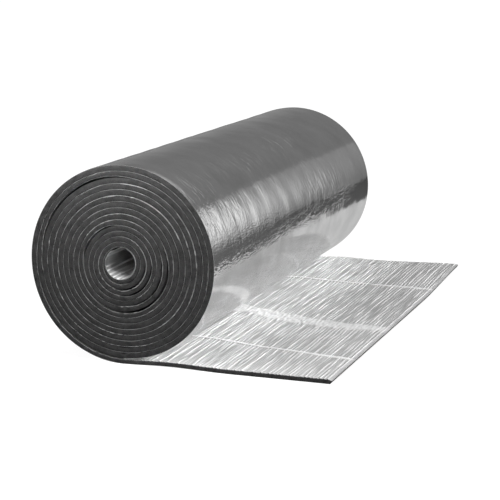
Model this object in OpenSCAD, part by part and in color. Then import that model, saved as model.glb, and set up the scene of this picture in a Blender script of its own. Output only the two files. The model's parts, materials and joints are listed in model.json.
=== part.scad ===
// Insulation roll: a foam sheet with foil on both faces, wound into a coreless roll that lies
// on its side, with its outer end laid out flat beside it.
//
// +Y runs along the roll, +X is the way the loose end points and +Z is up. The origin is in the
// middle of the footprint, on the floor.
//
// The winding is a two-centre spiral. Half turns on the left are centred on the bore, half turns
// on the right sit half a pitch higher, so each pair of half turns meets without a step and the
// last one runs tangent into the flat loose end.

/* [Sheet] */
// Width of the sheet, which is the length of the roll
sheet_width = 1000; // [300:10:1500]
// Thickness of the sheet, with the foil on both faces
sheet_thickness = 8; // [4:0.5:25]
// Thickness of the foil on each face, with its film and adhesive
foil_thickness = 0.3; // [0.1:0.05:0.5]
// Length of the loose end that lies flat, from under the middle of the roll
loose_length = 400; // [250:10:1200]

/* [Roll] */
// Diameter of the open bore
bore_diameter = 50; // [30:1:150]
// Full turns outside the innermost half turn
turn_count = 14; // [4:1:24]
// Gap that the wrinkled foil keeps between one turn and the next
turn_gap = 2.8; // [0.5:0.1:5]
// Depth to which the gaps between the turns are open on the roll's ends
seam_depth = 6; // [1:0.5:20]

/* [Hidden] */

// How far a cut runs past the surface that it opens
overrun = 2;
$fn = 180;

bore_r = bore_diameter / 2;
pitch = sheet_thickness + turn_gap;
roll_r = bore_r + sheet_thickness + turn_count * pitch;

// The roll's middle in X, which puts the origin in the middle of the whole length
roll_x = (roll_r - loose_length) / 2;

// Sides of the roll: half turns on the left carry on down to the loose end
LEFT = -1;
RIGHT = 1;

// Height of the centre that the half turns on one side are drawn round
function turn_centre_z(side) = side == LEFT ? roll_r : roll_r + pitch / 2;

// Outer radius of a half turn, counted inwards from 0 on the outside of the roll
function turn_outer_r(side, turn) =
    (side == LEFT ? roll_r : roll_r - pitch / 2) - turn * pitch;

// Places children, drawn round +Z from z = 0, round the centre of one side's half turns,
// lying along +Y from the given place
module lay_round(side, from_y) {
    translate([roll_x, from_y, turn_centre_z(side)])
        rotate([-90, 0, 0])
            children();
}

// Half a ring on one side of the roll, from bottom to top
module half_ring(side, inner_r, outer_r, from_y, length) {
    lay_round(side, from_y)
        rotate([0, 0, side == LEFT ? 90 : -90])
            rotate_extrude(angle = 180)
                translate([inner_r, 0])
                    square([outer_r - inner_r, length]);
}

// Half a full cylinder on one side of the roll
module half_round(side, outer_r, from_y, length) {
    intersection() {
        lay_round(side, from_y)
            cylinder(r = outer_r, h = length);
        translate([roll_x - (side == LEFT ? 2 * roll_r : 0), from_y, -overrun])
            cube([2 * roll_r, length, 2 * roll_r + 2 * overrun]);
    }
}

// A layer of the loose end, from one height to another
module loose_layer(from_z, to_z) {
    translate([roll_x, -sheet_width / 2, from_z])
        cube([loose_length, sheet_width, to_z - from_z]);
}

// The gaps between the turns as they open on one end of the roll
module end_seams(from_y, length) {
    for (turn = [0 : turn_count - 1])
        seam(LEFT, turn, from_y, length);
    for (turn = [0 : turn_count - 2])
        seam(RIGHT, turn, from_y, length);
}

// The gap on the inside of one half turn
module seam(side, turn, from_y, length) {
    outer_r = turn_outer_r(side, turn) - sheet_thickness;
    half_ring(side, outer_r - turn_gap, outer_r, from_y, length);
}

// The black foam of the whole sheet: the wound roll, with its bore, and the loose end
module foam_sheet() {
    color("#2b2b2b")
        difference() {
            union() {
                for (side = [LEFT, RIGHT])
                    half_round(side, turn_outer_r(side, 0) - foil_thickness,
                               -sheet_width / 2, sheet_width);
                loose_layer(foil_thickness, sheet_thickness - foil_thickness);
            }
            lay_round(LEFT, -sheet_width / 2 - overrun)
                cylinder(r = bore_r + foil_thickness, h = sheet_width + 2 * overrun);
            end_seams(-sheet_width / 2 - overrun, seam_depth + overrun);
            end_seams(sheet_width / 2 - seam_depth, seam_depth + overrun);
        }
}

// The foil that shows on the roll: round the outside of the last turn, and in the bore
module roll_foil() {
    color("#b9bbbe") {
        for (side = [LEFT, RIGHT])
            half_ring(side, turn_outer_r(side, 0) - foil_thickness, turn_outer_r(side, 0),
                      -sheet_width / 2, sheet_width);
        lay_round(LEFT, -sheet_width / 2)
            difference() {
                cylinder(r = bore_r + foil_thickness, h = sheet_width);
                translate([0, 0, -overrun])
                    cylinder(r = bore_r, h = sheet_width + 2 * overrun);
            }
    }
}

// The foil on the two faces of the loose end
module loose_end_foil() {
    color("#d3d4d6") {
        loose_layer(0, foil_thickness);
        loose_layer(sheet_thickness - foil_thickness, sheet_thickness);
    }
}

foam_sheet();
roll_foil();
loose_end_foil();
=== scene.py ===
"""Looks of the insulation roll: black foam sheet with foil on both faces, wound up with a loose end.

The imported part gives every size. The foam is spun up turn by turn as the real sheet is wound, the
foil that was on the inside of the turns is wrinkled, and the foil round the outside is stretched
nearly smooth.
"""

import json
import logging
import math
from dataclasses import dataclass
from enum import Enum
from typing import Callable, Iterator

import bmesh
import bpy
from bmesh.types import BMEdge, BMesh, BMVert
from bpy.types import Material, Node, NodeOutputs, NodeSocket, NodeTree, Object
from mathutils import Matrix, Vector, noise


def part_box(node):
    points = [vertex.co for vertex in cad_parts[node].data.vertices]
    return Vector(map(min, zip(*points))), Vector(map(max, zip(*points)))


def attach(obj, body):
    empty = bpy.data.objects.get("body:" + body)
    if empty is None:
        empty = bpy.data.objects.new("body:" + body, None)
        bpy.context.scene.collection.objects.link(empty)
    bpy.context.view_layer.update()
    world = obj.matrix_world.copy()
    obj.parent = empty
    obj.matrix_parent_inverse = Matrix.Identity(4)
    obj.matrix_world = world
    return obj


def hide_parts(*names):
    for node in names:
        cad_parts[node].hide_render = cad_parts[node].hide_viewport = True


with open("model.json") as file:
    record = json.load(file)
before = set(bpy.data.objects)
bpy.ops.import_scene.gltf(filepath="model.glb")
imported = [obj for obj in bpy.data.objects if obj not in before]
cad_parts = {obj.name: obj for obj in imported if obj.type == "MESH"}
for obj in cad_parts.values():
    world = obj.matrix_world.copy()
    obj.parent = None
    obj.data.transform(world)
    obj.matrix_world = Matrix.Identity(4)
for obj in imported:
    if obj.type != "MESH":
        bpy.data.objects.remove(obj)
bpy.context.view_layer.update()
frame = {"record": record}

LOG = logging.getLogger("insulation_roll")
# Mask of crumples and wrinkle tops: it sets the bump's depth and where the foil's colour gets a painted
# highlight
CRUMPLE_AND_HIGHLIGHT_MASK = "crumple_and_highlight"
FOLD_MASK = "folded"
MM = 0.001
ROLL_AXIS = (0.0, 1.0, 0.0)
MERGE_DISTANCE = MM / 100
SHARP_ANGLE = math.radians(50)
CUT_ANGLE = math.radians(60)


class Side(Enum):
    """The half of the roll that a half turn is on, seen from the near end."""

    LEFT = "left"
    RIGHT = "right"


def wave(*place: float) -> float:
    """Smooth noise from -1 to 1 at up to three coordinates."""
    padded = tuple(place) + (0.0,) * (3 - len(place))
    return noise.noise(Vector(padded))


def clip(value: float) -> float:
    """The value, kept between 0 and 1."""
    return min(max(value, 0.0), 1.0)


def ease(value: float) -> float:
    """Smooth step from 0 to 1 as the value goes from 0 to 1."""
    clipped = clip(value)
    return clipped * clipped * (3.0 - 2.0 * clipped)


def ridge(phase: float, width_share: float, across: float, seed: float) -> float:
    """How near the crest of one of a row of wrinkles is.

    Args:
        phase: place along the sheet, in wrinkles.
        width_share: half a wrinkle's width, as a share of the distance between wrinkles.
        across: place across the sheet, in lengths of a wrinkle.
        seed: which row of wrinkles it is.

    Returns:
        0 on the flat foil to 1 on the crest of a full wrinkle.
    """
    number = round(phase)
    aside = abs(phase - number) / width_share
    # Each wrinkle comes and goes along its length, apart from its neighbours
    strength = ease(0.66 + 1.4 * wave(number * 3.7, across, seed))
    return ease(1.5 - aside) * strength


@dataclass(frozen=True)
class Gap:
    """An arc of the winding where two turns stand apart.

    Args:
        place: turns from where the loose end meets the roll to the middle of the arc.
        spread: half the arc, in turns.
        width: how much further apart than usual the turns stand there.
    """

    place: float
    spread: float
    width: float

    def openness(self, turns: float) -> float:
        """How far the turn outside the gap is from touching the next, from 0 to 1."""
        along = abs(turns - self.place) / self.spread
        return ease((1.0 - along) / GAP_SLOPE)

    def push(self, turns: float) -> float:
        """How far the gap moves the sheet: turns outside it go outwards, turns inside it inwards.

        Args:
            turns: a place on the sheet, in turns from where the loose end meets the roll.

        Returns:
            The distance outwards.
        """
        away = turns - self.place
        turn = round(away)
        along = abs(away - turn) / self.spread
        if along >= 1.0:
            return 0.0
        half = 0.5 * self.width * (1.0 - along * along) ** 2
        if turn <= 0:
            return half * GAP_FADE ** -turn
        return -half * GAP_FADE ** (turn - 1)


# Share of a gap's half arc over which it opens, and how much of its push each further turn keeps
GAP_SLOPE = 0.6
GAP_FADE = 0.6
GAPS = (
    Gap(place=1.38, spread=0.17, width=1.8 * MM),
    Gap(place=9.36, spread=0.16, width=1.6 * MM),
    Gap(place=7.90, spread=0.24, width=2.4 * MM),
    Gap(place=8.86, spread=0.18, width=1.2 * MM),
    Gap(place=10.86, spread=0.20, width=2.0 * MM),
    Gap(place=11.88, spread=0.24, width=2.6 * MM),
)

# How the wound sheet departs from the ideal spiral
LAST_HALF_SHARE = 0.8
TURN_CLEARANCE = 0.5 * MM
TURN_WOBBLE = 0.45 * MM
TURN_CREEP = 0.7 * MM
CORE_SPRING = 3.6 * MM
CORE_TURNS = 5.0
CORE_SHIFT = Vector((-3.5 * MM, 0.0, -1.5 * MM))
INNER_END_LIFT = 2.2 * MM
INNER_END_THINNING = 0.7

# How the loose end departs from a flat sheet
END_CUT = 9 * MM
END_SLANT = 4.5 * MM
END_PRESS = 0.15
END_SWAY = 1.4 * MM
HUMP_HEIGHT = 2.5 * MM
HUMP_LENGTH = 230 * MM
HUMP_PEAK = 0.4
FAR_SIDE_LIFT = 6.0 * MM
FAR_SIDE_WIDTH = 320 * MM
FAR_CORNER_LIFT = 4.0 * MM


@dataclass(frozen=True)
class Winding:
    """The two-centre spiral that the sheet follows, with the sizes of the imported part.

    Half turns on the left are drawn round the bore, half turns on the right half a pitch higher,
    so that each meets the next without a step and the first runs out into the flat loose end.

    Args:
        roll_x: place of the roll's axis across the floor.
        radius: radius of the roll on its left side.
        pitch: distance from one turn to the next.
        thickness: thickness of the loose end, with its foil.
        foil: thickness of the foil.
        bore_r: radius of the bore.
        near_y: the roll's near end.
        far_y: its far end.
        loose_x: the end of the loose end.
    """

    roll_x: float
    radius: float
    pitch: float
    thickness: float
    foil: float
    bore_r: float
    near_y: float
    far_y: float
    loose_x: float

    @classmethod
    def from_frame(cls, record: dict) -> "Winding":
        """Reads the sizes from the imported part.

        Args:
            record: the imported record, which states the bore.

        Returns:
            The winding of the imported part.
        """
        foam_low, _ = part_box("foam_sheet")
        _, roll_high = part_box("roll_foil")
        loose_low, loose_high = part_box("loose_end_foil")
        bore = next(mount for mount in record["mounts"] if mount["name"] == "bore")
        radius = roll_high[2] / 2
        return cls(
            roll_x=loose_low[0],
            radius=radius,
            pitch=2 * (radius - (roll_high[0] - loose_low[0])),
            thickness=loose_high[2],
            foil=foam_low[2],
            bore_r=bore["dims"]["r_mm"] * MM,
            near_y=loose_low[1],
            far_y=loose_high[1],
            loose_x=loose_high[0],
        )

    @property
    def width(self) -> float:
        """Width of the sheet, which is the length of the roll."""
        return self.far_y - self.near_y

    @property
    def turn_count(self) -> int:
        """Full turns outside the innermost half turn."""
        return round((self.radius - self.bore_r - self.thickness) / self.pitch)

    def centre(self, side: Side) -> Vector:
        """Centre of the half turns on one side, at the near end."""
        height = self.radius if side is Side.LEFT else self.radius + self.pitch / 2
        return Vector((self.roll_x, self.near_y, height))

    def half_turns(self) -> Iterator[tuple[Side, int]]:
        """Names the half turns from the outside of the roll to its bore.

        Returns:
            The side and the turn of each half turn, in order.
        """
        for turn in range(self.turn_count):
            yield Side.LEFT, turn
            yield Side.RIGHT, turn
        yield Side.LEFT, self.turn_count

    def outer_r(self, side: Side, turn: int) -> float:
        """Radius of the outer face of a half turn."""
        first = self.radius if side is Side.LEFT else self.radius - self.pitch / 2
        return first - turn * self.pitch

    def is_loose(self, place: Vector) -> bool:
        """Whether a place is on the loose end and not on the roll."""
        return place.x > self.roll_x and place.z < (self.thickness + self.pitch) / 2

    def polar(self, place: Vector) -> tuple[Side, float, float, Vector]:
        """Finds a place on the roll.

        Args:
            place: a place on the ideal spiral.

        Returns:
            Its side of the roll, its radius, the turns since the loose end, and the way outwards.
        """
        side = Side.LEFT if place.x <= self.roll_x else Side.RIGHT
        arm = place - self.centre(side)
        radius = math.hypot(arm.x, arm.z)
        share = (math.atan2(-arm.x, -arm.z) / math.tau) % 1.0
        if side is Side.LEFT:
            share = min(share, 0.5)
        elif share < 0.25:
            share = 1.0
        turn = math.floor((self.outer_r(side, 0) - radius) / self.pitch + 0.05)
        return side, radius, turn + share, Vector((arm.x, 0.0, arm.z)) / radius

    def lift(self, place: Vector) -> float:
        """How far the loose end springs up by the roll, along its far side and at its far corner.

        Args:
            place: a place on the flat loose end.

        Returns:
            The distance that the place moves upwards.
        """
        along = place.x - self.roll_x
        run = clip(along / HUMP_LENGTH)
        highest = HUMP_PEAK ** 2 * (1.0 - HUMP_PEAK) ** 3
        hump = HUMP_HEIGHT * run ** 2 * (1.0 - run) ** 3 / highest
        start = ease(along / (150 * MM))
        end = ease((place.x - self.loose_x) / (180 * MM) + 1.0)
        side = ease((place.y - self.far_y) / FAR_SIDE_WIDTH + 1.0)
        return hump + (FAR_SIDE_LIFT * start + FAR_CORNER_LIFT * end) * side

    def settle(self, place: Vector) -> Vector:
        """Moves a place on the ideal sheet to where the wound sheet lies.

        Args:
            place: a place on the ideal spiral or on the flat loose end.

        Returns:
            The place after the turns have settled against each other.
        """
        if self.is_loose(place):
            along = place.x - self.roll_x
            sway = END_SWAY * ease(along / (120 * MM)) * wave(along / (110 * MM), 3.7)
            at_end = ease((place.x - self.loose_x) / END_CUT + 1.0)
            slant = END_SLANT * (1.0 - place.z / self.thickness) * at_end
            pressed = END_PRESS * place.z * at_end
            return place + Vector((-slant, sway, self.lift(place) - pressed))
        side, radius, turns, out = self.polar(place)
        push = sum(gap.push(turns) for gap in GAPS)
        push += TURN_WOBBLE * wave(turns * 2.6, 8.1) * ease(turns - 0.5)
        push += CORE_SPRING * ease((turns - self.turn_count) / CORE_TURNS + 1.0)
        push -= self._swell(radius, side, turns)
        push += self._taper(radius, side, turns)
        creep = TURN_CREEP * wave(turns * 0.45, 1.3) * ease(turns - 0.3)
        core = CORE_SHIFT * ease(turns / self.turn_count)
        return place + out * push + core + Vector((0.0, creep, 0.0))

    def _swell(self, radius: float, side: Side, turns: float) -> float:
        """How much thicker the wound foam is than the loose end, outside a place in it.

        Args:
            radius: the place's radius.
            side: its side of the roll.
            turns: the turns since the loose end.

        Returns:
            The distance that the place moves inwards.
        """
        depth = (self.outer_r(side, math.floor(turns + 0.001)) - radius) / self.thickness
        spare = self.pitch - self.thickness - TURN_CLEARANCE
        spare -= 1.5 * CORE_SPRING / CORE_TURNS * ease((turns - self.turn_count) / CORE_TURNS + 1.5)
        inside = ease(self.turn_count - 0.4 - turns)
        apart = max(gap.openness(turns) for gap in GAPS)
        return spare * clip(depth) * ease(turns / 0.3) * inside * (1.0 - apart)

    def _taper(self, radius: float, side: Side, turns: float) -> float:
        """How far the inner end of the sheet is pressed against the turn outside it.

        Args:
            radius: a place's radius.
            side: its side of the roll.
            turns: the turns since the loose end.

        Returns:
            The distance that the place moves outwards.
        """
        last = ease((turns - self.turn_count) / 0.4)
        depth = (self.outer_r(side, self.turn_count) - radius) / self.thickness
        return last * (INNER_END_LIFT + INNER_END_THINNING * self.thickness * clip(depth))


def settle_all(mesh: BMesh, winding: Winding) -> None:
    """Moves every vertex of a mesh to where the wound sheet lies."""
    for vert in mesh.verts:
        vert.co = winding.settle(vert.co)


def edges_of(geometry: list) -> list[BMEdge]:
    """The edges in what a mesh operator returns."""
    return [item for item in geometry if isinstance(item, BMEdge)]


def verts_of(geometry: list) -> list[BMVert]:
    """The vertices in what a mesh operator returns."""
    return [item for item in geometry if isinstance(item, BMVert)]


def wind(mesh: BMesh, winding: Winding, section: list[BMEdge], step: float,
         turns: list[tuple[Side, int]]) -> None:
    """Spins a section of the sheet through half turns.

    Args:
        mesh: the mesh that holds the section.
        winding: the spiral to follow.
        section: edges across the sheet, where the first half turn starts.
        step: length of each face along the sheet.
        turns: the half turns to follow, in order.
    """
    for side, turn in turns:
        angle = math.pi * (LAST_HALF_SHARE if turn == winding.turn_count else 1.0)
        arc = angle * winding.outer_r(side, turn)
        ends = dict.fromkeys(vert for edge in section for vert in edge.verts)
        spun = bmesh.ops.spin(
            mesh, geom=section + list(ends),
            cent=winding.centre(side), axis=ROLL_AXIS, dvec=(0.0, 0.0, 0.0),
            angle=angle, space=Matrix.Identity(4), steps=max(12, round(arc / step)),
            use_merge=False, use_normal_flip=False, use_duplicate=False)
        section = edges_of(spun["geom_last"])


def mesh_object(name: str, mesh: BMesh, material: Material) -> Object:
    """Makes an object of a mesh.

    Args:
        name: the object's name.
        mesh: the mesh, which is freed.
        material: the material of all its faces.

    Returns:
        The object, linked to the scene.
    """
    data = bpy.data.meshes.new(name)
    mesh.to_mesh(data)
    mesh.free()
    data.materials.append(material)
    made = bpy.data.objects.new(name, data)
    bpy.context.collection.objects.link(made)
    return made


def finish_piece(name: str, mesh: BMesh, material: Material, node: str) -> Object:
    """Makes a piece of a finished mesh and rides it on the part.

    Args:
        name: the piece's name.
        mesh: the mesh, which is freed.
        material: the material of all its faces.
        node: the part's node that the piece takes the place of.

    Returns:
        The piece, shaded smooth.
    """
    bmesh.ops.recalc_face_normals(mesh, faces=mesh.faces)
    piece = mesh_object(name, mesh, material)
    piece.data.shade_smooth()
    piece.data.set_sharp_from_angle(angle=SHARP_ANGLE)
    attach(piece, "root")
    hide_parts(node)
    LOG.info("%s: %d faces", name, len(piece.data.polygons))
    return piece


@dataclass
class FoamSheet:
    """The black foam of the whole sheet, wound from its loose end in to the bore."""

    winding: Winding
    step: float = 9.0 * MM
    end_step: float = 1.5 * MM
    end_steps: int = 6
    edge_round: float = 0.4 * MM
    cuts: int = 20

    def build(self, material: Material) -> Object:
        """Winds the foam, gives it its width and rounds its cut edges.

        Args:
            material: the foam's material.

        Returns:
            The finished piece.
        """
        winding = self.winding
        mesh = bmesh.new()
        low = mesh.verts.new((winding.loose_x, winding.near_y, winding.foil))
        high = mesh.verts.new((winding.loose_x, winding.near_y, winding.thickness - winding.foil))
        section = [mesh.edges.new((low, high))]
        section = self._lay_loose_end(mesh, section)
        wind(mesh, winding, section, self.step, list(winding.half_turns()))
        self._widen(mesh)
        self._round_edges(mesh)
        self._cut_loose_end(mesh)
        settle_all(mesh, winding)
        return finish_piece("wound_foam", mesh, material, "foam_sheet")

    def _lay_loose_end(self, mesh: BMesh, section: list[BMEdge]) -> list[BMEdge]:
        """Runs the section along the flat loose end, up to the roll.

        Args:
            mesh: the mesh that holds the section.
            section: edges across the sheet, at the end of the loose end.

        Returns:
            The edges across the sheet where it meets the roll.
        """
        rest = self.winding.loose_x - self.winding.roll_x - self.end_step * self.end_steps
        steps = round(rest / self.step)
        for step in [self.end_step] * self.end_steps + [rest / steps] * steps:
            grown = bmesh.ops.extrude_edge_only(mesh, edges=section)
            bmesh.ops.translate(mesh, verts=verts_of(grown["geom"]), vec=(-step, 0.0, 0.0))
            section = [edge for edge in edges_of(grown["geom"]) if edge.is_boundary]
            section = [edge for edge in section if abs(edge.verts[0].co.x - edge.verts[1].co.x) < MM / 10]
        return section

    def _widen(self, mesh: BMesh) -> None:
        """Gives the wound profile the width of the sheet.

        Args:
            mesh: the wound profile, at the roll's near end.
        """
        grown = bmesh.ops.extrude_face_region(mesh, geom=list(mesh.faces))
        bmesh.ops.translate(mesh, verts=verts_of(grown["geom"]), vec=(0.0, self.winding.width, 0.0))
        bmesh.ops.recalc_face_normals(mesh, faces=mesh.faces)

    def _cut_loose_end(self, mesh: BMesh) -> None:
        """Divides the loose end into strips along the sheet, so that it can bend across its width.

        Args:
            mesh: the foam at its full width.
        """
        winding = self.winding
        for cut in range(1, self.cuts):
            loose = [face for face in mesh.faces if winding.is_loose(face.calc_center_median())]
            parts = dict.fromkeys(part for face in loose for part in (*face.verts, *face.edges))
            middle = (0.0, winding.near_y + winding.width * cut / self.cuts, 0.0)
            bmesh.ops.bisect_plane(mesh, geom=loose + list(parts), dist=MM / 1000,
                                   plane_co=middle, plane_no=ROLL_AXIS)

    def _round_edges(self, mesh: BMesh) -> None:
        """Rounds the edges that were cut when the sheet was trimmed to width.

        Args:
            mesh: the foam at its full width.
        """
        cut = [edge for edge in mesh.edges
               if len(edge.link_faces) == 2 and edge.calc_face_angle() > CUT_ANGLE]
        bmesh.ops.bevel(mesh, geom=cut, offset=self.edge_round, offset_type="OFFSET", affect="EDGES",
                        segments=2, profile=0.5, material=-1, clamp_overlap=True)


@dataclass(frozen=True)
class Crumple:
    """A place on the roll's outside where the foil is crumpled.

    Args:
        turn_share: place round the roll, from the loose end up over the left side.
        end_share: place along the roll, from its near end.
        turn_spread: half its size round the roll, in turns.
        end_spread: half its size along the roll, as a share of the length.
        strength: how strongly the foil is crumpled.
    """

    turn_share: float
    end_share: float
    turn_spread: float
    end_spread: float
    strength: float

    def weight(self, turn_share: float, end_share: float) -> float:
        """How strongly the foil is crumpled at a place.

        Args:
            turn_share: the place round the roll, from the loose end up over the left side.
            end_share: the place along the roll, from its near end.

        Returns:
            0 outside the patch to its full strength in the middle.
        """
        around = (turn_share - self.turn_share) / self.turn_spread
        along = (end_share - self.end_share) / self.end_spread
        return self.strength * ease(1.0 - math.hypot(around, along))


# Patches of the outer foil that are crumpled
CRUMPLES = (
    Crumple(turn_share=0.665, end_share=0.06, turn_spread=0.11, end_spread=0.30, strength=1.0),
    Crumple(turn_share=0.725, end_share=0.68, turn_spread=0.09, end_spread=0.26, strength=0.9),
    Crumple(turn_share=0.600, end_share=0.62, turn_spread=0.09, end_spread=0.22, strength=0.9),
    Crumple(turn_share=0.620, end_share=0.36, turn_spread=0.07, end_spread=0.25, strength=0.7),
    Crumple(turn_share=0.535, end_share=0.58, turn_spread=0.04, end_spread=0.12, strength=0.9),
    Crumple(turn_share=0.740, end_share=0.25, turn_spread=0.07, end_spread=0.30, strength=0.6),
    Crumple(turn_share=0.380, end_share=0.35, turn_spread=0.12, end_spread=0.30, strength=0.7),
    Crumple(turn_share=0.210, end_share=0.80, turn_spread=0.12, end_spread=0.25, strength=0.8),
    Crumple(turn_share=0.230, end_share=0.15, turn_spread=0.10, end_spread=0.20, strength=0.6),
)

# Folds that run along the outer foil
FOLDS = (
    Crumple(turn_share=0.754, end_share=0.10, turn_spread=0.022, end_spread=0.45, strength=2.0),
    Crumple(turn_share=0.747, end_share=0.50, turn_spread=0.020, end_spread=0.45, strength=1.7),
    Crumple(turn_share=0.740, end_share=0.78, turn_spread=0.024, end_spread=0.22, strength=1.8),
    Crumple(turn_share=0.720, end_share=0.20, turn_spread=0.036, end_spread=0.40, strength=0.6),
    Crumple(turn_share=0.300, end_share=0.60, turn_spread=0.016, end_spread=0.35, strength=0.7),
)


@dataclass
class OuterFoil:
    """The foil round the outside of the last turn, stretched nearly smooth."""

    winding: Winding
    step: float = 4.2 * MM
    rows: int = 160
    inset: float = 0.6 * MM
    solid_share: float = 0.8
    broad_dent: float = 0.40 * MM
    small_dent: float = 0.55 * MM
    crease_dent: float = 0.45 * MM

    def build(self, material: Material) -> Object:
        """Spins the foil round the last turn and dents it.

        Args:
            material: the outer foil's material.

        Returns:
            The finished piece.
        """
        winding = self.winding
        mesh = bmesh.new()
        ends = [mesh.verts.new((winding.roll_x, y, 0.0))
                for y in (winding.near_y + self.inset, winding.far_y - self.inset)]
        line = mesh.edges.new(ends)
        bmesh.ops.subdivide_edges(mesh, edges=[line], cuts=self.rows - 1)
        # Rows are closer together towards the near end
        for vert in mesh.verts:
            share = (vert.co.y - winding.near_y) / winding.width
            vert.co.y = winding.near_y + winding.width * share * (0.55 + 0.45 * share)
        wind(mesh, winding, list(mesh.edges), self.step, list(winding.half_turns())[:2])
        bmesh.ops.remove_doubles(mesh, verts=mesh.verts, dist=MERGE_DISTANCE)
        bmesh.ops.recalc_face_normals(mesh, faces=mesh.faces)
        crumple_and_highlight = mesh.verts.layers.float.new(CRUMPLE_AND_HIGHLIGHT_MASK)
        folded = mesh.verts.layers.float.new(FOLD_MASK)
        for vert in mesh.verts:
            _, _, turns, out = winding.polar(vert.co)
            end_share = (vert.co.y - winding.near_y) / winding.width
            weight = max(crumple.weight(turns, end_share) for crumple in CRUMPLES)
            vert[crumple_and_highlight] = weight
            vert[folded] = max(fold.weight(turns, end_share) for fold in FOLDS)
            dent = self._dent(turns * math.tau * winding.radius, vert.co.y, weight)
            from_end = min(vert.co.y - winding.near_y, winding.far_y - vert.co.y)
            dent *= ease(turns / 0.05) * ease(0.35 + from_end / (25 * MM))
            vert.co = winding.settle(vert.co) + out * dent
        bmesh.ops.solidify(mesh, geom=mesh.faces, thickness=winding.foil * self.solid_share)
        return finish_piece("outer_foil", mesh, material, "roll_foil")

    def _dent(self, around: float, along: float, weight: float) -> float:
        """How far the foil stands off the foam at a place on the roll's outside.

        Args:
            around: distance of the place round the roll, from the loose end.
            along: its place along the roll.
            weight: how crumpled the foil is there.

        Returns:
            The distance that the foil moves outwards.
        """
        broad = self.broad_dent * (0.6 + wave(around / (230 * MM), along / (150 * MM), 0.4))
        broad += self.small_dent * (0.6 + wave(around / (75 * MM), along / (44 * MM), 2.7))
        bend = 24 * MM * wave(around / (55 * MM), along / (70 * MM), 7.1)
        crease = wave(around / (62 * MM), (along + bend) / (26 * MM), 5.2)
        crease = self.crease_dent * max(0.0, 1.0 - abs(crease) * 2.4) ** 2
        return max(broad, 0.0) + crease * (0.08 + 0.92 * weight)


@dataclass
class SeamFoil:
    """The crumpled edge of the inner foil, where it shows between the turns on the roll's ends."""

    winding: Winding
    step: float = 3.0 * MM
    depth: float = 14.0 * MM
    overlap: float = 0.05 * MM
    solid: float = 0.12 * MM

    def build(self, material: Material) -> Object:
        """Winds the foil's edge on the near end and repeats it on the far end.

        Args:
            material: the material of the foil's edge.

        Returns:
            The finished piece.
        """
        winding = self.winding
        mesh = bmesh.new()
        inner_z = winding.thickness - self.overlap
        # Inwards from the near end and up from the foam, from the hidden edge to the lip
        places = ((self.depth, 0.0), (2.0 * MM, 0.10 * MM), (-0.2 * MM, 0.15 * MM),
                  (-0.45 * MM, 0.3 * MM), (-0.3 * MM, 0.6 * MM))
        verts = [mesh.verts.new((winding.roll_x, winding.near_y + inwards, inner_z + up))
                 for inwards, up in places]
        section = [mesh.edges.new(pair) for pair in zip(verts, verts[1:])]
        wind(mesh, winding, section, self.step, list(winding.half_turns()))
        bmesh.ops.remove_doubles(mesh, verts=mesh.verts, dist=MERGE_DISTANCE)
        for vert in mesh.verts:
            vert.co = winding.settle(vert.co + self._crumple(vert.co))
        bmesh.ops.solidify(mesh, geom=mesh.faces, thickness=self.solid)
        near = mesh.verts[:] + mesh.edges[:] + mesh.faces[:]
        far = bmesh.ops.duplicate(mesh, geom=near)
        bmesh.ops.scale(mesh, vec=(1.0, -1.0, 1.0), verts=verts_of(far["geom"]))
        return finish_piece("seam_foil", mesh, material, "roll_foil")

    def _crumple(self, place: Vector) -> Vector:
        """How the edge of the foil is crumpled: its lip widens in dashes and stands proud in places.

        Args:
            place: a place on the foil's edge.

        Returns:
            How far the place moves.
        """
        winding = self.winding
        _, radius, turns, out = winding.polar(place)
        share = 1.0 - min((place.y - winding.near_y) / self.depth, 1.0)
        if share < 0.5:
            return Vector((0.0, 0.0, 0.0))
        arc = turns * math.tau * radius
        wide = ease(0.20 + 2.2 * wave(arc / (62 * MM), 4.4) + 0.20 * math.cos(math.tau * turns))
        dash = ease(0.34 + 0.35 * wide + 2.1 * wave(arc / (5 * MM), 6.6))
        lip = (1.1 * wide * dash - 0.2) * MM * ease((share - 0.95) / 0.05)
        proud = (0.25 * wave(arc / (11 * MM), 9.2) - 0.75 * (1.0 - wide) * (1.0 - 0.6 * dash)) * MM
        return -out * lip + Vector((0.0, -proud * ease((share - 0.85) / 0.15), 0.0))


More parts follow.
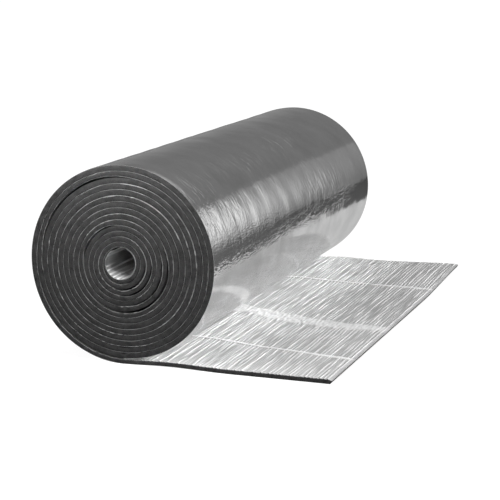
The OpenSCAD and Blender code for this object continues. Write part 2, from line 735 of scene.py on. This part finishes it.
@dataclass
class BoreFoil:
    """The inner foil of the innermost turn, which lines the bore."""

    winding: Winding
    step: float = 0.8 * MM
    rows: int = 40
    solid_share: float = 0.5
    wrinkle_angle: float = 0.047
    wrinkle_width: float = 0.18
    wrinkle_height: float = 0.8 * MM

    def build(self, material: Material) -> Object:
        """Spins the lining round the last two half turns and streaks it along the roll.

        Args:
            material: the bore foil's material.

        Returns:
            The finished piece.
        """
        winding = self.winding
        mesh = bmesh.new()
        last = list(winding.half_turns())[-2:]
        side, turn = last[0]
        inner_r = winding.outer_r(side, turn) - winding.thickness
        top = winding.centre(side).z + inner_r
        ends = [mesh.verts.new((winding.roll_x, y, top)) for y in (winding.near_y, winding.far_y)]
        line = mesh.edges.new(ends)
        bmesh.ops.subdivide_edges(mesh, edges=[line], cuts=self.rows - 1)
        wind(mesh, winding, list(mesh.edges), self.step, last)
        bmesh.ops.remove_doubles(mesh, verts=mesh.verts, dist=MERGE_DISTANCE)
        crumple_and_highlight = mesh.verts.layers.float.new(CRUMPLE_AND_HIGHLIGHT_MASK)
        for vert in mesh.verts:
            _, _, turns, out = winding.polar(vert.co)
            phase = turns / self.wrinkle_angle + 0.5 * wave(turns * 9.0, vert.co.y / (160 * MM), 7.7)
            # The mask raises the streaks and also paints a highlight on their tops, by brightening the
            # lining's colour
            vert[crumple_and_highlight] = ridge(phase, self.wrinkle_width, vert.co.y / (120 * MM), 8.3)
            vert.co = winding.settle(vert.co) - out * self.wrinkle_height * vert[crumple_and_highlight]
        bmesh.ops.recalc_face_normals(mesh, faces=mesh.faces)
        bmesh.ops.solidify(mesh, geom=mesh.faces, thickness=winding.foil * self.solid_share)
        return finish_piece("bore_foil", mesh, material, "roll_foil")


@dataclass(frozen=True)
class Crease:
    """A line along the loose end where its foil was folded or lifted.

    Args:
        start_share: place across the sheet at the roll, from its near edge.
        end_share: place across the sheet at the end of the loose end.
        half_width: half the width of the ridge.
        height: height of the ridge.
        crumple: share of the height that is crumpled away.
        row_density: how much denser than elsewhere the mesh's rows are.
        bow: how far its middle bends across the sheet, as a share of the width.
        cover: how much of the wrinkles it takes the place of.
        fray: how far streaks reach out of it towards the near edge, in half widths.
        thin_out: share of its width that it loses towards its ends.
    """

    start_share: float
    end_share: float
    half_width: float
    height: float
    crumple: float
    row_density: float
    bow: float
    cover: float
    fray: float
    thin_out: float

    def share_at(self, run: float) -> float:
        """Place across the sheet, at a place along the loose end as a share of its length."""
        bend = 4.0 * run * (1.0 - run) * self.bow
        return self.start_share + (self.end_share - self.start_share) * run + bend


CREASES = (
    Crease(start_share=0.205, end_share=0.142, half_width=7.0 * MM, height=1.4 * MM,
           crumple=0.3, row_density=7.0, bow=0.0, cover=1.0, fray=0.5, thin_out=0.0),
    Crease(start_share=0.480, end_share=0.385, half_width=42.0 * MM, height=1.6 * MM,
           crumple=0.7, row_density=2.5, bow=-0.035, cover=0.95, fray=1.5, thin_out=0.45),
    Crease(start_share=0.765, end_share=0.755, half_width=7.0 * MM, height=1.4 * MM,
           crumple=0.3, row_density=7.0, bow=0.0, cover=1.0, fray=0.5, thin_out=0.0),
)


@dataclass
class LooseEndFoil:
    """The wrinkled foil on top of the loose end and the smooth foil under it."""

    winding: Winding
    columns: int = 440
    rows: int = 106
    plain_columns: int = 60
    plain_rows: int = 40
    inset: float = 0.7 * MM
    dense_reach: float = 1.4
    tall_pitch: float = 7.0 * MM
    tall_height: float = 1.2 * MM
    low_pitch: float = 4.6 * MM
    low_height: float = 0.6 * MM
    swell_height: float = 0.35 * MM
    crease_base: float = 0.4 * MM

    def build_top(self, material: Material) -> Object:
        """Lays the foil on the loose end and wrinkles it.

        Args:
            material: the inner foil's material.

        Returns:
            The finished piece.
        """
        winding = self.winding
        mesh = self._grid(self.columns, self.rows, winding.thickness)
        self._gather_rows(mesh)
        # The mask sets where the foil's colour gets a painted highlight, on wrinkle tops and creases
        crumple_and_highlight = mesh.verts.layers.float.new(CRUMPLE_AND_HIGHLIGHT_MASK)
        for vert in mesh.verts:
            rise, vert[crumple_and_highlight] = self._rise(vert.co)
            vert.co = winding.settle(vert.co) + Vector((0.0, 0.0, rise))
        bmesh.ops.solidify(mesh, geom=mesh.faces, thickness=winding.foil)
        return finish_piece("wrinkled_foil", mesh, material, "loose_end_foil")

    def build_underside(self, material: Material) -> Object:
        """Lays the smooth foil under the loose end.

        Args:
            material: the outer foil's material.

        Returns:
            The finished piece.
        """
        mesh = self._grid(self.plain_columns, self.plain_rows, self.winding.foil)
        bmesh.ops.solidify(mesh, geom=mesh.faces, thickness=-self.winding.foil)
        settle_all(mesh, self.winding)
        return finish_piece("underside_foil", mesh, material, "loose_end_foil")

    def _grid(self, columns: int, rows: int, height: float) -> BMesh:
        """A flat grid over the loose end.

        Args:
            columns: number of faces along the sheet.
            rows: number of faces across it.
            height: its height over the floor.

        Returns:
            A new mesh with the grid.
        """
        winding = self.winding
        mesh = bmesh.new()
        end_x = winding.loose_x - self.inset
        size = Matrix.Diagonal(((end_x - winding.roll_x) / 2, winding.width / 2 - self.inset, 1.0, 1.0))
        middle = Matrix.Translation(((end_x + winding.roll_x) / 2,
                                     (winding.near_y + winding.far_y) / 2, height))
        bmesh.ops.create_grid(mesh, x_segments=columns, y_segments=rows, size=1.0, matrix=middle @ size)
        return mesh

    def _gather_rows(self, mesh: BMesh) -> None:
        """Moves the grid's rows closer together where they run along the creases.

        Args:
            mesh: the flat grid over the loose end.
        """
        winding = self.winding
        low = winding.near_y + self.inset
        span = winding.width - 2 * self.inset
        for vert in mesh.verts:
            run = (vert.co.x - winding.roll_x) / (winding.loose_x - winding.roll_x)
            vert.co.y = low + span * self._row_place((vert.co.y - low) / span, run)

    def _row_place(self, row_share: float, run: float) -> float:
        """Place across the sheet of a row, where rows are denser on the creases.

        Args:
            row_share: the row's number, as a share of all rows.
            run: place along the loose end, as a share of its length.

        Returns:
            The row's place across the sheet, as a share of its width.
        """
        stretches = []
        start = 0.0
        for crease in CREASES:
            middle = crease.share_at(run)
            half = self.dense_reach * crease.half_width / self.winding.width
            stretches.append((start, middle - half, 1.0))
            stretches.append((middle - half, middle + half, crease.row_density))
            start = middle + half
        stretches.append((start, 1.0, 1.0))
        total = sum((high - low) * density for low, high, density in stretches)
        left = row_share * total
        for low, high, density in stretches:
            rows = (high - low) * density
            if left <= rows:
                return low + left / density
            left -= rows
        return 1.0

    def _rise(self, place: Vector) -> tuple[float, float]:
        """Shapes the foil at a place on the loose end.

        Args:
            place: a place on the flat loose end.

        Returns:
            The height of the foil over the foam, and the mask of its wrinkle tops and creases, which sets
            its bump and its painted highlight.
        """
        along = place.x - self.winding.roll_x
        across = place.y - self.winding.near_y
        short = ease((self.winding.loose_x - place.x) / (7 * MM) - 0.2)
        rise, crumple_and_highlight = (short * value for value in self._wrinkles(along, across))
        for crease in CREASES:
            height, weight = self._crease_rise(crease, along, across)
            rise += (height - rise) * weight
            # On a crease the colour gets a painted highlight, strongest where the ridge stands highest
            dimple = 1.0 - height / (crease.height + self.crease_base)
            crumple_and_highlight = max(crumple_and_highlight * (1.0 - weight), weight * (1.25 - 0.8 * dimple))
        return rise, crumple_and_highlight

    def _wrinkles(self, along: float, across: float) -> tuple[float, float]:
        """Shapes the wrinkles that the foil got on the inside of a turn.

        Args:
            along: distance of a place from the roll.
            across: its distance from the near edge.

        Returns:
            The height of the foil there, and how near the top of a wrinkle it is, which sets the painted
            highlight there.
        """
        drift = 0.6 * wave(along / (45 * MM), across / (420 * MM), 1.1)
        drift += 0.28 * wave(along / (20 * MM), across / (48 * MM), 2.3)
        tall = ridge(along / self.tall_pitch + drift, 0.16, across / (80 * MM), 3.5)
        low = ridge(along / self.low_pitch + 1.6 * drift, 0.20, across / (55 * MM), 6.1)
        swell = self.swell_height * (0.5 + 0.5 * wave(along / (26 * MM), across / (140 * MM), 4.9))
        return self.tall_height * tall + self.low_height * low + swell, max(tall, 0.5 * low)

    def _crease_rise(self, crease: Crease, along: float, across: float) -> tuple[float, float]:
        """Shapes the ridge of a crease.

        Args:
            crease: the crease.
            along: distance of a place from the roll.
            across: its distance from the near edge.

        Returns:
            The height of the foil there, and how much the ridge takes the place of the wrinkles.
        """
        winding = self.winding
        run = along / (winding.loose_x - winding.roll_x)
        share = crease.share_at(run)
        middle = winding.width * share + 2.0 * MM * wave(along / (60 * MM), crease.start_share * 40)
        bulge = math.sin(math.pi * (0.2 + 0.8 * clip(run)))
        aside = (across - middle) / (crease.half_width * (1.0 - crease.thin_out * (1.0 - bulge)))
        fringe = 0.85 + 0.25 * wave(along / (24 * MM), crease.start_share * 20)
        if aside < 0.0:
            fringe += crease.fray * max(0.0, wave(along / (6 * MM), crease.start_share * 30))
        weight = ease((1.0 - abs(aside) / fringe) / 0.45) * crease.cover * ease((1.0 - run) / 0.03)
        if weight == 0.0:
            return 0.0, 0.0
        rough = 0.5 + 0.5 * wave(along / (5 * MM), across / (14 * MM), crease.start_share * 50)
        height = crease.height * (1.0 - crease.crumple * ease(rough * 1.6 - 0.3)) + self.crease_base
        return height, weight


def new_material(name: str) -> tuple[Material, Node]:
    """Makes a material.

    Args:
        name: the material's name.

    Returns:
        The material and its shader.
    """
    material = bpy.data.materials.new(name)
    material.use_nodes = True
    return material, material.node_tree.nodes["Principled BSDF"]


def map_range(tree: NodeTree, value: NodeSocket, start: tuple[float, float],
              end: tuple[float, float] = (0.0, 1.0), smooth: bool = False) -> NodeSocket:
    """Maps one range of a value to another.

    Args:
        tree: the nodes of a material, a group or the world.
        value: the value.
        start: the range that the value runs through.
        end: the range that it is mapped to.
        smooth: whether it leaves and meets the ends of the range gently.

    Returns:
        The mapped value, which stays in the end range.
    """
    node = tree.nodes.new("ShaderNodeMapRange")
    if smooth:
        node.interpolation_type = "SMOOTHSTEP"
    for name, limit in zip(("From Min", "From Max", "To Min", "To Max"), start + end):
        node.inputs[name].default_value = limit
    tree.links.new(value, node.inputs["Value"])
    return node.outputs["Result"]


def compute(tree: NodeTree, operation: str, *values: NodeSocket | float) -> NodeSocket:
    """Does one step of arithmetic.

    Args:
        tree: the nodes of a material, a group or the world.
        operation: the Math node's operation.
        values: what it works on, as sockets or plain numbers.

    Returns:
        The result.
    """
    node = tree.nodes.new("ShaderNodeMath")
    node.operation = operation
    for socket, value in zip(node.inputs, values):
        if isinstance(value, float):
            socket.default_value = value
        else:
            tree.links.new(value, socket)
    return node.outputs["Value"]


def noise_texture(tree: NodeTree, place: NodeSocket, scale: float, detail: float = 0.0) -> Node:
    """Adds a noise.

    Args:
        tree: the nodes of a material or a group.
        place: the coordinates that it is read at.
        scale: its waves for each unit of the coordinates.
        detail: how many finer noises are laid over it.

    Returns:
        The noise's node.
    """
    texture = tree.nodes.new("ShaderNodeTexNoise")
    texture.inputs["Scale"].default_value = scale
    texture.inputs["Detail"].default_value = detail
    tree.links.new(place, texture.inputs["Vector"])
    return texture


def attribute(tree: NodeTree, name: str) -> NodeSocket:
    """Reads a value that a mesh holds for each of its vertices.

    Args:
        tree: the material's nodes.
        name: the value's name on the mesh.

    Returns:
        The value.
    """
    node = tree.nodes.new("ShaderNodeAttribute")
    node.attribute_name = name
    return node.outputs["Fac"]


def add_bump(tree: NodeTree, shader: Node, height: NodeSocket, strength: float,
             distance: float) -> None:
    """Gives a shader a fine relief.

    Args:
        tree: the material's nodes.
        shader: the material's shader.
        height: the relief, from 0 to 1.
        strength: how strongly it shows.
        distance: its depth.
    """
    bump = tree.nodes.new("ShaderNodeBump")
    bump.inputs["Strength"].default_value = strength
    bump.inputs["Distance"].default_value = distance
    tree.links.new(height, bump.inputs["Height"])
    tree.links.new(bump.outputs["Normal"], shader.inputs["Normal"])


# Range that most of a noise lies in, half a wrinkle's crest in it, and the share of grains in wrinkles
NOISE_RANGE = (0.3, 0.7)
CREST_WIDTH = 0.045
GRAIN_SHARE = 0.25


def crinkle_group() -> NodeTree:
    """The shader group for fine foil wrinkles.

    Returns:
        A group with Vector, Stretch, Detail and Bend inputs, and Height, Lines and Tone outputs.
    """
    group = bpy.data.node_groups.new("foil_crinkle", "ShaderNodeTree")
    for name in ("Vector", "Stretch"):
        group.interface.new_socket(name, in_out="INPUT", socket_type="NodeSocketVector")
    for name in ("Detail", "Bend"):
        group.interface.new_socket(name, in_out="INPUT", socket_type="NodeSocketFloat")
    for name in ("Height", "CrestHighlight", "Tone"):
        group.interface.new_socket(name, in_out="OUTPUT", socket_type="NodeSocketFloat")
    links = group.links
    start = group.nodes.new("NodeGroupInput").outputs
    end = group.nodes.new("NodeGroupOutput").inputs
    scaled = group.nodes.new("ShaderNodeVectorMath")
    scaled.operation = "MULTIPLY"
    links.new(start["Vector"], scaled.inputs[0])
    links.new(start["Stretch"], scaled.inputs[1])
    lines = noise_texture(group, scaled.outputs["Vector"], scale=1.0)
    links.new(start["Detail"], lines.inputs["Detail"])
    links.new(start["Bend"], lines.inputs["Distortion"])
    from_middle = compute(group, "SUBTRACT", lines.outputs["Fac"], 0.5)
    distance = compute(group, "ABSOLUTE", from_middle)
    # Mask of the thin lines on wrinkle tops that get the painted highlight
    links.new(map_range(group, distance, (CREST_WIDTH, 0.0)), end["CrestHighlight"])
    grains = noise_texture(group, start["Vector"], scale=160.0, detail=3.0)
    height = compute(group, "MULTIPLY_ADD", grains.outputs["Fac"], GRAIN_SHARE, lines.outputs["Fac"])
    links.new(height, end["Height"])
    blotches = noise_texture(group, start["Vector"], scale=14.0, detail=4.0)
    links.new(blotches.outputs["Fac"], end["Tone"])
    return group


@dataclass(frozen=True)
class FoilFinish:
    """A bright foil.

    Args:
        name: the material's name.
        metal: how metallic it is; very fine crinkles make foil less so.
        dark: the foil's reflectance where it is dull.
        bright: its reflectance where it is bright.
        smooth: roughness where it is shiny.
        dull: roughness where it is dull.
        stretch: wrinkles for each metre along X, Y and Z.
        detail: how many finer wrinkles are laid over each one.
        relief: depth of the fine wrinkles.
        plain_share: share of that depth where the foil isn't crumpled.
        crest_highlight: painted highlight, how much brighter the colour is made along the top of each
            fine wrinkle.
        crumple_and_highlight: painted highlight, how much brighter the colour is made where the mask
            marks wrinkle tops and crumples.
        bend: how much the wrinkles bend.
        fold_stretch: wrinkles for each metre along X, Y and Z on a fold line.
    """

    name: str
    metal: float
    dark: float
    bright: float
    smooth: float
    dull: float
    stretch: tuple[float, float, float]
    detail: float
    relief: float
    plain_share: float
    # These two paint highlights into the colour, in place of light caught by wrinkle tops and crumples
    crest_highlight: float
    crumple_and_highlight: float
    bend: float = 0.5
    fold_stretch: tuple[float, float, float] = (90.0, 90.0, 90.0)

    def material(self, group: NodeTree) -> Material:
        """Makes the foil's material.

        Args:
            group: the shader group for fine foil wrinkles.

        Returns:
            The material.
        """
        material, shader = new_material(self.name)
        shader.inputs["Metallic"].default_value = self.metal
        tree = material.node_tree
        place = tree.nodes.new("ShaderNodeTexCoord").outputs["Object"]
        crinkle = self._crinkle(tree, group, place, self.stretch)
        fold = self._crinkle(tree, group, place, self.fold_stretch)
        mask = attribute(tree, CRUMPLE_AND_HIGHLIGHT_MASK)
        tone = map_range(tree, crinkle["Tone"], NOISE_RANGE, (self.dark, self.bright))
        # Painted highlights: the colour is made brighter on the crest lines and where the mask marks
        # wrinkle tops and crumples
        highlit_tone = compute(tree, "MULTIPLY_ADD", crinkle["CrestHighlight"], self.crest_highlight, tone)
        colour = compute(tree, "MULTIPLY_ADD", mask, self.crumple_and_highlight, highlit_tone)
        tree.links.new(colour, shader.inputs["Base Color"])
        gloss = map_range(tree, crinkle["Tone"], NOISE_RANGE, (self.dull, self.smooth))
        tree.links.new(gloss, shader.inputs["Roughness"])
        depth = map_range(tree, mask, (0.0, 1.0), (self.plain_share, 1.0))
        wrinkled = compute(tree, "MULTIPLY", crinkle["Height"], depth)
        creased = compute(tree, "MULTIPLY", fold["Height"], attribute(tree, FOLD_MASK))
        add_bump(tree, shader, compute(tree, "ADD", creased, wrinkled), 1.0, self.relief)
        return material

    def _crinkle(self, tree: NodeTree, group: NodeTree, place: NodeSocket,
                 stretch: tuple[float, float, float]) -> NodeOutputs:
        """Places the group for fine wrinkles in the material.

        Args:
            tree: the material's nodes.
            group: the shader group.
            place: the coordinates that it is read at.
            stretch: wrinkles for each metre along X, Y and Z.

        Returns:
            The group's outputs.
        """
        crinkle = tree.nodes.new("ShaderNodeGroup")
        crinkle.node_tree = group
        crinkle.inputs["Stretch"].default_value = stretch
        crinkle.inputs["Detail"].default_value = self.detail
        crinkle.inputs["Bend"].default_value = self.bend
        tree.links.new(place, crinkle.inputs["Vector"])
        return crinkle.outputs


# crest_highlight and crumple_and_highlight paint highlights into each foil's colour; the inner foil and
# the bore's lining get the most
OUTER_FINISH = FoilFinish(
    "outer_foil", metal=1.0, dark=0.72, bright=0.94, smooth=0.09, dull=0.17,
    stretch=(22.0, 56.0, 22.0), detail=2.2, relief=1.0 * MM,
    plain_share=0.10, crest_highlight=0.04, crumple_and_highlight=0.0, bend=1.6, fold_stretch=(120.0, 26.0, 120.0))
INNER_FINISH = FoilFinish(
    "inner_foil", metal=0.45, dark=0.40, bright=0.50, smooth=0.28, dull=0.40,
    stretch=(190.0, 9.0, 90.0), detail=4.0, relief=0.4 * MM,
    plain_share=0.6, crest_highlight=0.07, crumple_and_highlight=0.42)
SEAM_FINISH = FoilFinish(
    "seam_foil", metal=0.30, dark=0.24, bright=0.44, smooth=0.35, dull=0.50,
    stretch=(120.0, 40.0, 120.0), detail=3.0, relief=0.4 * MM,
    plain_share=0.6, crest_highlight=0.07, crumple_and_highlight=0.0)
BORE_FINISH = FoilFinish(
    "bore_foil", metal=0.25, dark=0.40, bright=0.52, smooth=0.24, dull=0.34,
    stretch=(170.0, 8.0, 170.0), detail=3.0, relief=0.5 * MM,
    plain_share=0.8, crest_highlight=0.10, crumple_and_highlight=0.56)


@dataclass(frozen=True)
class FoamFinish:
    """Black closed-cell foam, cut across its cells on the sheet's edges."""

    name: str = "foam"
    dark: float = 0.009
    pale: float = 0.047
    roughness: float = 0.85
    specular: float = 0.12
    cells: float = 620.0
    cell_share: float = 0.5
    grain: float = 90.0
    grain_detail: float = 6.0
    tone_range: tuple[float, float] = (0.35, 1.0)
    relief: float = 0.35 * MM
    relief_strength: float = 0.6

    def material(self) -> Material:
        """Makes the foam's material.

        Returns:
            The material.
        """
        material, shader = new_material(self.name)
        shader.inputs["Roughness"].default_value = self.roughness
        shader.inputs["Specular IOR Level"].default_value = self.specular
        tree = material.node_tree
        place = tree.nodes.new("ShaderNodeTexCoord").outputs["Object"]
        cells = tree.nodes.new("ShaderNodeTexVoronoi")
        cells.inputs["Scale"].default_value = self.cells
        tree.links.new(place, cells.inputs["Vector"])
        grain = noise_texture(tree, place, self.grain, self.grain_detail).outputs["Fac"]
        mixed = compute(tree, "MULTIPLY_ADD", cells.outputs["Distance"], self.cell_share, grain)
        tone = map_range(tree, mixed, self.tone_range, (self.dark, self.pale))
        tree.links.new(tone, shader.inputs["Base Color"])
        add_bump(tree, shader, mixed, self.relief_strength, self.relief)
        return material


@dataclass(frozen=True)
class Softbox:
    """A soft lamp that faces the object.

    Args:
        name: the lamp's name.
        place: where it stands.
        aim: where it points.
        size: its width and height.
        radiance: how bright its face is, where 1 is white.
        mirrored: whether it shows in the foil.
        spread: angle that its light fans out to.
    """

    name: str
    place: tuple[float, float, float]
    aim: tuple[float, float, float]
    size: tuple[float, float]
    radiance: float
    mirrored: bool
    spread: float = math.pi

    def build(self) -> None:
        """Makes the lamp, which no view shows directly."""
        data = bpy.data.lights.new(self.name, "AREA")
        data.shape = "RECTANGLE"
        data.size, data.size_y = self.size
        data.spread = self.spread
        data.energy = self.radiance * math.pi * self.size[0] * self.size[1]
        lamp = bpy.data.objects.new(self.name, data)
        way = Vector(self.place) - Vector(self.aim)
        turn = way.to_track_quat("Z", "Y").to_matrix().to_4x4()
        lamp.matrix_world = Matrix.Translation(self.place) @ turn
        lamp.visible_camera = False
        lamp.visible_glossy = self.mirrored
        bpy.context.collection.objects.link(lamp)


SOFTBOXES = (
    Softbox("top_front_box", (-0.2, -0.62, 0.62), (-0.1, -0.5, 0.30), (0.5, 0.15), 29.0, False),
    Softbox("front_box", (-0.35, -2.6, 1.25), (-0.1, -0.5, 0.18), (1.2, 0.8), 3.6, False),
    Softbox("low_right_box", (2.0, 0.4, 0.60), (0.0, 0.0, 0.0), (2.8, 0.9), 4.0, False),
    Softbox("grazing_box", (1.6, 0.0, 0.20), (0.0, 0.0, 0.0), (2.0, 0.25), 14.0, False),
    Softbox("nip_box", (0.45, 0.0, 0.25), (-0.09, 0.0, 0.01), (1.1, 0.12), 3.0, False,
            spread=math.radians(24)),
    Softbox("right_box", (1.8, 0.5, 1.3), (0.0, 0.0, 0.0), (2.0, 1.2), 1.0, True),
)


@dataclass(frozen=True)
class Studio:
    """The pale floor, the soft light and the camera of the photograph.

    Each pair is a range of places, or of directions in the sky, over which a glow changes.
    """

    floor_size: float = 60.0
    floor_tone: float = 0.20
    floor_glow: float = 0.88
    far_glow: float = 0.93
    far_distance: tuple[float, float] = (0.8, 3.0)
    mirror_glow: float = 0.66
    far_mirror_glow: float = 0.36
    mirror_y: tuple[float, float] = (-0.1, 0.7)
    mat_tone: float = 0.085
    mat_glow: float = 0.15
    mat_height: float = 0.002
    mat_lean: float = -0.25
    mat_aside: tuple[float, float] = (0.35, 1.0)
    mat_y: tuple[float, float] = (0.8, 2.2)
    wall_place: float = 3.0
    wall_start: float = 0.55
    wall_end: float = 2.2
    wall_dim: float = 0.08
    wall_bright: float = 0.76
    wall_x: tuple[float, float] = (0.90, 1.75)
    wall_z: tuple[float, float] = (-0.15, 0.85)
    low_sky: float = 0.172
    high_sky: float = 0.76
    sky_z: tuple[float, float] = (0.42, 0.62)
    horizon_glow: float = 0.10
    horizon_z: tuple[float, float] = (0.0, 0.26)
    horizon_x: tuple[float, float] = (0.0, -0.25)
    focal_px: float = 1600.0
    frame_px: float = 500.0
    sensor_mm: float = 36.0
    reach: float = 200.0
    azimuth: float = math.radians(19.97)
    elevation: float = math.radians(11.40)
    distance: float = 3.114
    aim: tuple[float, float, float] = (0.0378, -0.2226, 0.1710)

    def build(self) -> None:
        """Makes the floor, the light and the camera."""
        self._floor()
        self._dark_mat()
        self._light_wall()
        self._sky()
        for softbox in SOFTBOXES:
            softbox.build()
        self._camera()
        bpy.context.scene.view_settings.view_transform = "Standard"

    def _floor(self) -> None:
        """Lays a white floor that keeps the object's shadow."""
        mesh = bmesh.new()
        bmesh.ops.create_grid(mesh, x_segments=1, y_segments=1, size=self.floor_size / 2)
        floor = mesh_object("floor", mesh, self._glowing("floor", self.floor_tone, self._floor_glow))

    def _dark_mat(self) -> None:
        """Lays a mat behind the object that shows only in its reflections, with a glow that makes it
        paler towards the wall.
        """
        corners = ((0.48, -0.4), (0.18, 1.3), (-0.45, 0.6), (-0.7, 0.0), (-15.0, 0.0), (-15.0, 25.0),
                   (15.0, 25.0), (15.0, -0.4))
        self._mirrored_only("dark_mat", [(x, y, self.mat_height) for x, y in corners],
                            self._glowing("dark_mat", self.mat_tone, self._mat_glow))

    def _light_wall(self) -> None:
        """Stands a glowing wall behind the object that shows only in its reflections."""
        corners = ((self.wall_start, 0.0), (self.wall_end, 0.0), (self.wall_end, 1.75), (1.0, 1.40),
                   (self.wall_start, 0.80))
        self._mirrored_only("light_wall", [(x, self.wall_place, z) for x, z in corners],
                            self._glowing("light_wall", 0.0, self._wall_glow))

    def _mirrored_only(self, name: str, corners: list[tuple[float, float, float]],
                       material: Material) -> None:
        """Adds a flat shape that shows only in reflections.

        Args:
            name: the shape's name.
            corners: its corners, in order.
            material: its material.
        """
        mesh = bmesh.new()
        mesh.faces.new([mesh.verts.new(corner) for corner in corners])
        shape = mesh_object(name, mesh, material)
        shape.visible_camera = False
        shape.visible_shadow = False
        shape.visible_diffuse = False

    def _glowing(self, name: str, tone: float, glow: Callable[[NodeTree], NodeSocket]) -> Material:
        """Makes a matt material that glows.

        Args:
            name: the material's name.
            tone: its reflectance.
            glow: adds the nodes for how much it glows, and returns their result.

        Returns:
            The material.
        """
        material, shader = new_material(name)
        shader.inputs["Base Color"].default_value = (tone, tone, tone, 1.0)
        shader.inputs["Roughness"].default_value = 1.0
        shader.inputs["Specular IOR Level"].default_value = 0.0
        shader.inputs["Emission Color"].default_value = (1.0, 1.0, 1.0, 1.0)
        tree = material.node_tree
        tree.links.new(glow(tree), shader.inputs["Emission Strength"])
        return material

    def _xyz(self, tree: NodeTree, kind: str) -> tuple[NodeSocket, ...]:
        """Splits one kind of texture coordinates.

        Args:
            tree: the nodes of a material or the world.
            kind: which coordinates.

        Returns:
            Their X, Y and Z.
        """
        place = tree.nodes.new("ShaderNodeTexCoord")
        split = tree.nodes.new("ShaderNodeSeparateXYZ")
        tree.links.new(place.outputs[kind], split.inputs["Vector"])
        return tuple(split.outputs)

    def _floor_glow(self, tree: NodeTree) -> NodeSocket:
        """How much the floor glows, to the camera and in reflections, which are dimmer at the back.

        Args:
            tree: the floor material's nodes.

        Returns:
            The glow's strength.
        """
        place = tree.nodes.new("ShaderNodeTexCoord")
        distance = tree.nodes.new("ShaderNodeVectorMath")
        distance.operation = "LENGTH"
        tree.links.new(place.outputs["Object"], distance.inputs[0])
        glow = map_range(tree, distance.outputs["Value"], self.far_distance,
                         (self.floor_glow, self.far_glow))
        path = tree.nodes.new("ShaderNodeLightPath").outputs
        seen = compute(tree, "MULTIPLY", path["Is Camera Ray"], glow)
        mirrored = compute(tree, "MAXIMUM", path["Is Glossy Ray"], path["Is Transmission Ray"])
        _, y, _ = self._xyz(tree, "Object")
        back = map_range(tree, y, self.mirror_y, (self.mirror_glow, self.far_mirror_glow), smooth=True)
        return compute(tree, "ADD", compute(tree, "MULTIPLY", mirrored, back), seen)

    def _mat_glow(self, tree: NodeTree) -> NodeSocket:
        """How much the mat glows: more towards the wall and away from its middle line.

        Args:
            tree: the mat material's nodes.

        Returns:
            The glow's strength.
        """
        x, y, _ = self._xyz(tree, "Object")
        aside = compute(tree, "MULTIPLY_ADD", y, self.mat_lean, x)
        wide = map_range(tree, compute(tree, "ABSOLUTE", aside), self.mat_aside, smooth=True)
        deep = map_range(tree, y, self.mat_y, (0.0, self.mat_glow), smooth=True)
        return compute(tree, "MULTIPLY", wide, deep)

    def _wall_glow(self, tree: NodeTree) -> NodeSocket:
        """How much the wall glows: more to the right, and less towards the floor.

        Args:
            tree: the wall material's nodes.

        Returns:
            The glow's strength.
        """
        x, _, z = self._xyz(tree, "Object")
        side = map_range(tree, x, self.wall_x, (self.wall_dim, self.wall_bright), smooth=True)
        fade = map_range(tree, z, self.wall_z, smooth=True)
        return compute(tree, "ADD", compute(tree, "MULTIPLY", side, fade), self.low_sky)

    def _sky(self) -> None:
        """Lights the scene from all round, paler overhead and at the horizon on the left."""
        world = bpy.data.worlds.new("studio")
        world.use_nodes = True
        bpy.context.scene.world = world
        tree = world.node_tree
        x, _, z = self._xyz(tree, "Generated")
        height = map_range(tree, z, self.sky_z, (self.low_sky, self.high_sky))
        low = map_range(tree, z, self.horizon_z, (self.horizon_glow, 0.0))
        left = map_range(tree, x, self.horizon_x)
        both = compute(tree, "ADD", compute(tree, "MULTIPLY", low, left), height)
        tree.links.new(both, tree.nodes["Background"].inputs["Color"])

    def _camera(self) -> None:
        """Stands the camera where the photograph was taken from."""
        data = bpy.data.cameras.new("camera")
        data.sensor_fit = "HORIZONTAL"
        data.sensor_width = self.sensor_mm
        data.lens = self.focal_px / self.frame_px * self.sensor_mm
        data.clip_end = self.reach
        camera = bpy.data.objects.new("camera", data)
        bpy.context.collection.objects.link(camera)
        back = Vector((math.sin(self.azimuth) * math.cos(self.elevation),
                       -math.cos(self.azimuth) * math.cos(self.elevation),
                       math.sin(self.elevation)))
        turn = back.to_track_quat("Z", "Y").to_matrix().to_4x4()
        camera.matrix_world = Matrix.Translation(Vector(self.aim) + back * self.distance) @ turn
        bpy.context.scene.camera = camera


def main() -> None:
    """Builds the roll, its finishes and its studio."""
    logging.basicConfig(level=logging.INFO, format="%(name)s: %(message)s")
    winding = Winding.from_frame(frame["record"])
    LOG.info("roll of %d turns, %.0f mm radius", winding.turn_count, winding.radius / MM)
    crinkle = crinkle_group()
    smooth_foil = OUTER_FINISH.material(crinkle)
    foam = FoamSheet(winding).build(FoamFinish().material())
    OuterFoil(winding).build(smooth_foil)
    SeamFoil(winding).build(SEAM_FINISH.material(crinkle))
    BoreFoil(winding).build(BORE_FINISH.material(crinkle))
    loose_end = LooseEndFoil(winding)
    loose_end.build_top(INNER_FINISH.material(crinkle))
    loose_end.build_underside(smooth_foil)
    Studio().build()


if __name__ == "__main__":
    main()
